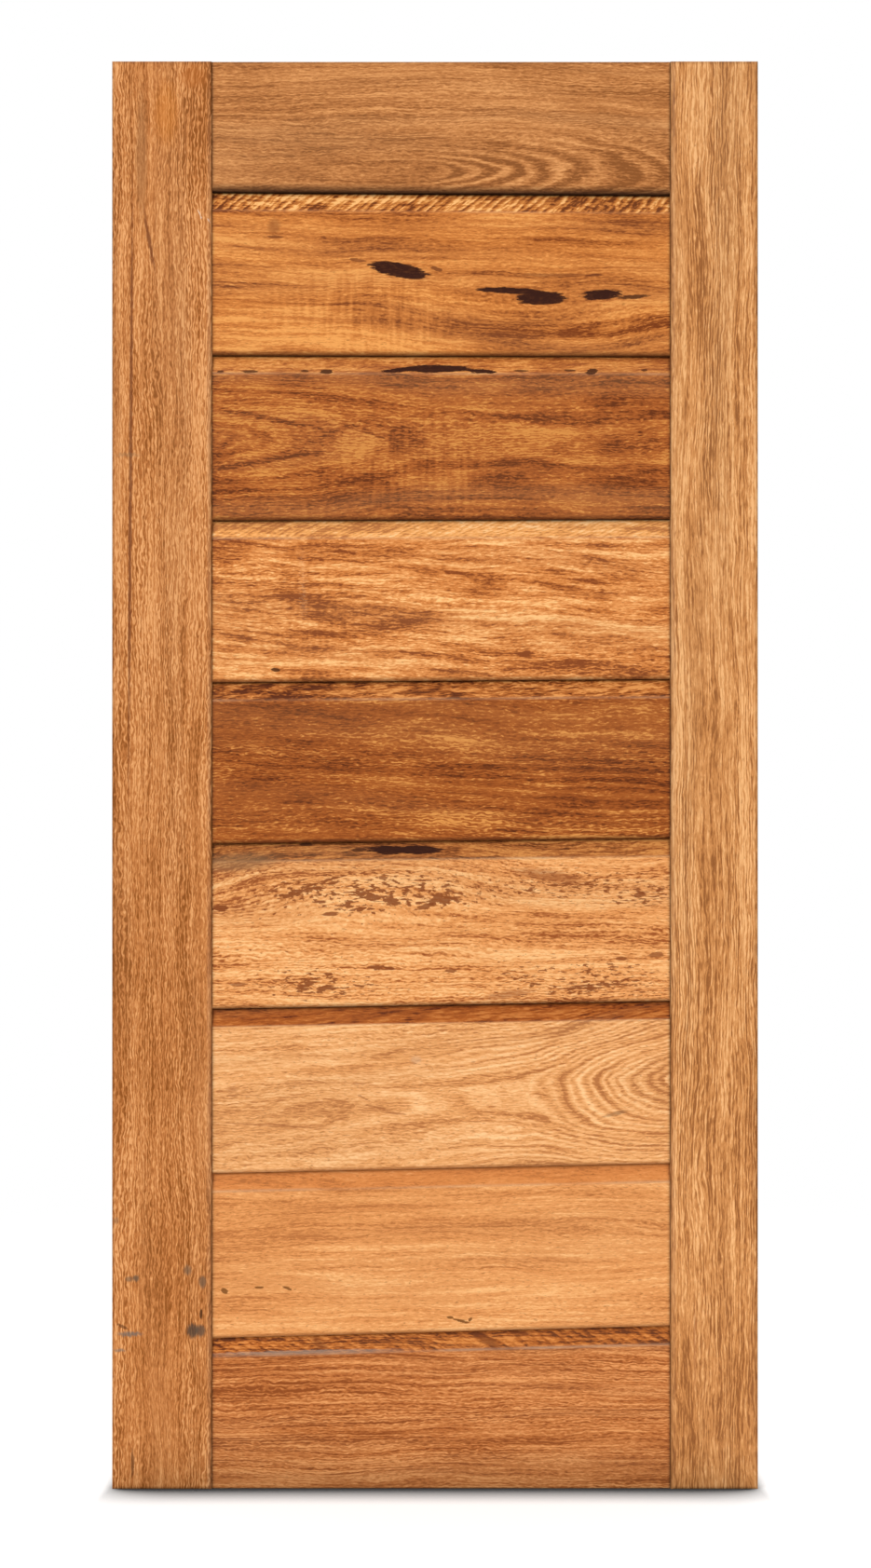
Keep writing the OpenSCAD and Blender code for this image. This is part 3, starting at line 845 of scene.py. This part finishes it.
        bevel=Bevel(("#652C0B", "#A5561C", "#C3702C", "#DD8C45"), -28, 1.1, 9.0, 0.12), wear=0.8,
        worn="#AC8A70", shades=((-250, 150, 130, 45, 0, -0.2), (250, 60, 170, 45, 0, 0.15)),
        marks=(
            (75, 220, 24, 8, -35, GUM_RIM, 0.7, 0.8), (121, 229, 22, 4, -6, GUM_RIM, 0.7, 0.8),
            (-171, 214, 14, 7, -30, GUM_RIM, 0.6, 0.8), (-200, 201, 150, 2.6, 1.5, "#A28B78", 0.6, 0.8))),
}
STILE_WOODS = {
    "left": Wood(
        tones=("#8E501C", "#B66F38", "#CC864B", "#E4A267"), rings=Rings(-700, 0, 80),
        weights=Weights(0.5, 0.9, 0.7, 1.3, 0.3, swirl=14.0, curl=16.0),
        shades=(
            (-401, 1480, 260, 200, 0, 0.12), (-401, 700, 190, 200, 0, -0.14),
            (-401, 215, 150, 200, 0, -0.11)),
        marks=(
            (-395, 2025, 48, 18, 0, "#D9822F", 0.35, 1.0), (-356, 2078, 20, 20, 0, "#B4662A", 0.5, 1.0),
            (-432, 1964, 95, 9, 0, "#94663F", 0.45, 1.0), (-448, 1477, 450, 2.4, 0.4, GUM_RIM, 0.8, 0.7),
            (-452, 1521, 3, 18, 0, "#8A6A4A", 0.4, 0.9), (-420, 1835, 48, 2.8, -10, GUM_RIM, 0.8, 0.8),
            (-450, 309, 4, 6, 0, IRON, 0.65, 0.9), (-440, 310, 5, 5, 0, IRON, 0.85, 0.8),
            (-364, 322, 8, 6, 0, IRON, 0.7, 0.9), (-342, 305, 9, 6, 0, IRON, 0.75, 0.8),
            (-449, 228, 3.5, 18, 0, "#6A645C", 0.75, 0.8), (-357, 233, 11, 9, 0, "#483C32", 0.85, 0.7),
            (-345, 233, 9, 8, 0, "#54463A", 0.8, 0.7), (-469, 395, 5, 4, 0, IRON, 0.45, 0.9),
            (-464, 204, 2.5, 9, 0, "#7A7064", 0.6, 0.8), (-460, 239, 2.5, 9, 25, CRACK, 0.6),
            (-346, 1875, 8, 1.0, -25, "#E6D3BE", 0.55, 0.6),
            (-333, 1866, 4, 1.0, -30, "#E6D3BE", 0.5, 0.6), (-344, 257, 8, 2, 0, CRACK, 0.9),
            (-445, 40, 22, 2, 0, CRACK, 0.6))),
    "right": Wood(
        tones=("#965C2E", "#C38147", "#D7965A", "#F0B579"), rings=Rings(700, 0, 80),
        weights=Weights(0.6, 1.3, 1.1, 1.1, 0.3, swirl=10.0, curl=30.0, fibre=22.0),
        marks=((382, 211, 60, 2, 0, SMEAR, 0.5, 0.9),),
        shades=(
            (446, 1000, 1100, 4, 0, -0.2), (411, 1465, 180, 200, 0, 0.1), (411, 590, 200, 200, 0, -0.08),
            (411, 200, 220, 200, 0, -0.17))),
}
# How far up each board's bottom edge shade is painted and how dark, and how dark the shade painted in the
# joint above it is
EDGE_SHADE = {
    1: ((14.0, 1.0), 0.0), 2: ((8.0, 0.8), 1.0), 3: ((8.0, 0.75), 1.0), 4: ((7.0, 0.7), 1.0),
    5: ((7.0, 0.7), 0.9), 6: ((6.5, 0.7), 0.7), 7: ((6.0, 0.4), 0.8), 8: ((6.0, 0.4), 0.45),
    9: ((4.0, 0.1), 0.4),
}
# A piece's number times this sets its grain apart from the others'. The stiles count on from the boards.
GRAIN_STEP = 10.0
STILE_NUMBERS = {"left": 21, "right": 22}


def make_boards():
    """Each board between the joints that its solid and the one above it are cut along."""
    run = board_run()
    edges = [(LEAF_HEIGHT, LEAF_HEIGHT)]
    for i in range(1, BOARD_COUNT):
        node = f"board_{i}"
        edges.append((edge_height(node, PANEL_LEFT), edge_height(node, PANEL_RIGHT)))
    edges.append((0.0, 0.0))
    for i in range(1, BOARD_COUNT + 1):
        high, low = edges[i - 1], edges[i]
        wood = BOARD_WOODS[i]
        material = eucalypt(f"board_{i}_eucalypt", False, GRAIN_STEP * i, wood)
        section = board_section(high[0] - low[0], i == 1, i == BOARD_COUNT, *EDGE_SHADE[i])
        sizes = {"Start": PANEL_LEFT, "End": PANEL_RIGHT, "Upright": False,
                 "Low at start": low[0], "Low at end": low[1],
                 "High at start": high[0], "High at end": high[1], "Middle depth": BOARD_MIDDLE}
        pockets = [mark for mark in starmap(Mark, wood.marks) if mark.colour == GUM]
        sweep(f"board_{i}_planed", f"board_{i}", section, run, sizes, material, i, pockets)


def make_stiles():
    """Each stile from its outer edge to its grooved inner edge."""
    run = stile_run()
    sides = (("left", 1, LEAF_LEFT, PANEL_LEFT), ("right", -1, LEAF_RIGHT, PANEL_RIGHT))
    for side, inward, outer, inner in sides:
        number = STILE_NUMBERS[side]
        material = eucalypt(f"stile_{side}_eucalypt", True, GRAIN_STEP * number, STILE_WOODS[side])
        section = stile_section(abs(inner - outer), inward)
        sizes = {"Start": 0.0, "End": LEAF_HEIGHT, "Upright": True,
                 "Low at start": outer, "Low at end": outer,
                 "High at start": inner, "High at end": inner, "Middle depth": LEAF_MIDDLE}
        sweep(f"stile_{side}_planed", f"stile_{side}", section, run, sizes, material, number)


# Length and width of the lines in a dowel's wood
DOWEL_LINE = (40.0, 0.8, 0.8)


def dowel_wood():
    """Bare turned hardwood: pale, dry and straight-grained, with fine lines along the dowel."""
    material = blank_material("turned_dowel_wood")
    put = partial(add, material.node_tree)
    place = put("ShaderNodeTexCoord")["Object"]
    lines = put(VECTOR, (place, [1 / (size * MM) for size in DOWEL_LINE]), "MULTIPLY")[0]
    grain = put(NOISE, {"Vector": lines, "Scale": 1.0, "Detail": 3.0})[0]
    colour = put(MIX, {0: grain, 6: linear("#B98F5C"), 7: linear("#E8CDA2")}, data_type="RGBA")[2]
    normal = put("ShaderNodeBump", {"Strength": 0.2, "Distance": 0.2 * MM, "Height": grain})[0]
    shader = put(PRINCIPLED, {"Base Color": colour, "Roughness": 0.7, "Normal": normal})[0]
    put("ShaderNodeOutputMaterial", {"Surface": shader})
    return material


def finish_dowels():
    """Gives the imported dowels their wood."""
    wood = dowel_wood()
    for side in ("left", "right"):
        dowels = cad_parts[f"dowels_{side}"]
        dowels.data.materials.clear()
        dowels.data.materials.append(wood)


# Stage, light and camera

VIEW_HEIGHT = 2306.0
VIEW_CENTRE = (0.7, 1037.0)
VIEW_DISTANCE = 5900.0
# The floor's half width, and how far from its middle it starts and ends to fade
FLOOR_REACH = 6000.0
FADE_FROM = 1000.0
FADE_TO = 4000.0
# How far the leaf's contact shadow reaches over the floor, how open the floor is in its darkest part, and
# where it ends inside and outside the leaf's sides
CONTACT_REACH = 140.0
CONTACT_OPEN = 0.55
CONTACT_INSIDE = 15.0
CONTACT_OUTSIDE = 20.0
# Each lamp's place, what it looks at and its width and height, in metres, and its power in watts
LAMPS = {
    "key": ((-2.6, -4.2, 3.6), (0, 0, 1.1), (3.0, 3.0), 138),
    "fill": ((3.2, -4.0, 1.8), (0, 0, 1.0), (2.5, 3.0), 57),
    "top": ((0, -0.6, 4.6), (0, -0.6, 0), (4.5, 4.5), 60),
    "back": ((0.6, 4.6, 3.4), (0, 0, 1.0), (3.0, 3.0), 160),
}
# How bright the studio's white walls shine on the leaf. The camera sees them at full white.
WALL_LIGHT = 0.39
WHITE = "#FFFFFF"


def pale_floor():
    """Matt white light table: even and bright, and dark only where the leaf stands close."""
    material = blank_material("pale_floor")
    put = partial(add, material.node_tree)
    place = put("ShaderNodeTexCoord")["Object"]
    away = put(VECTOR, (place,), "LENGTH")["Value"]
    fade = put(RANGE, (away, FADE_FROM * MM, FADE_TO * MM), **SMOOTH)[0]
    near = put("ShaderNodeAmbientOcclusion", {"Distance": CONTACT_REACH * MM}, samples=16)["AO"]
    under = put(RANGE, (near, CONTACT_OPEN))[0]
    sideways = put(SPLIT, (place,))[0]
    aside = put(MATH, (sideways,), "ABSOLUTE")[0]
    inside, outside = LEAF_RIGHT - CONTACT_INSIDE, LEAF_RIGHT + CONTACT_OUTSIDE
    past = put(RANGE, (aside, inside * MM, outside * MM), **SMOOTH)[0]
    contact = put(MATH, (under, past), "MAXIMUM")[0]
    glow, paint = [
        put(MIX, {0: contact, 6: linear(dark), 7: linear(bright)}, data_type="RGBA")[2]
        for dark, bright in (("#484848", "#FAFAF9"), ("#101010", "#C8C8C8"))
    ]
    table = put(PRINCIPLED, {"Base Color": paint, "Roughness": 0.9, "Specular IOR Level": 0.0,
                             "Emission Color": glow, "Emission Strength": 0.6})[0]
    clear = put("ShaderNodeBsdfTransparent")[0]
    surface = put("ShaderNodeMixShader", {0: fade, 1: table, 2: clear})[0]
    put("ShaderNodeOutputMaterial", {"Surface": surface})
    return material


def make_floor():
    """A floor that fades into the white of the studio."""
    reach = FLOOR_REACH * MM
    mesh = bpy.data.meshes.new("floor")
    corners = [(-reach, -reach, 0), (reach, -reach, 0), (reach, reach, 0), (-reach, reach, 0)]
    mesh.from_pydata(corners, [], [(0, 1, 2, 3)])
    mesh.materials.append(pale_floor())
    floor = new_object("floor", mesh)


def turn_towards(thing, place, target):
    """Puts a lamp or the camera at a place, looking at a target."""
    look = Vector(target) - Vector(place)
    turned = look.to_track_quat("-Z", "Y").to_matrix().to_4x4()
    thing.matrix_world = Matrix.Translation(place) @ turned


def make_studio():
    """Four broad lamps in a white room."""
    for name, (place, target, size, power) in LAMPS.items():
        lamp = bpy.data.lights.new(name, "AREA")
        lamp.shape = "RECTANGLE"
        lamp.size, lamp.size_y = size
        lamp.energy = power
        turn_towards(new_object(name, lamp), place, target)
    scene = bpy.context.scene
    scene.world = bpy.data.worlds.new("studio")
    scene.world.use_nodes = True
    tree = scene.world.node_tree
    tree.nodes.clear()
    seen = add(tree, "ShaderNodeLightPath")["Is Camera Ray"]
    soft, full = [
        add(tree, "ShaderNodeBackground", {"Color": linear(WHITE), "Strength": strength})[0]
        for strength in (WALL_LIGHT, 1.0)
    ]
    shown = add(tree, "ShaderNodeMixShader", {0: seen, 1: soft, 2: full})[0]
    add(tree, "ShaderNodeOutputWorld", {"Surface": shown})
    scene.view_settings.view_transform = "Standard"


def make_camera():
    """Square to the front, at the height where the bevels show alike above and below."""
    lens = bpy.data.cameras.new("camera")
    lens.sensor_fit = "VERTICAL"
    lens.lens = lens.sensor_height * VIEW_DISTANCE / VIEW_HEIGHT
    camera = new_object("camera", lens)
    x, z = VIEW_CENTRE
    place = Vector((x, LEAF_FRONT - VIEW_DISTANCE, z)) * MM
    turn_towards(camera, place, Vector((x, 0, z)) * MM)
    bpy.context.scene.camera = camera


make_camera()
make_studio()
make_floor()
make_boards()
make_stiles()
finish_dowels()
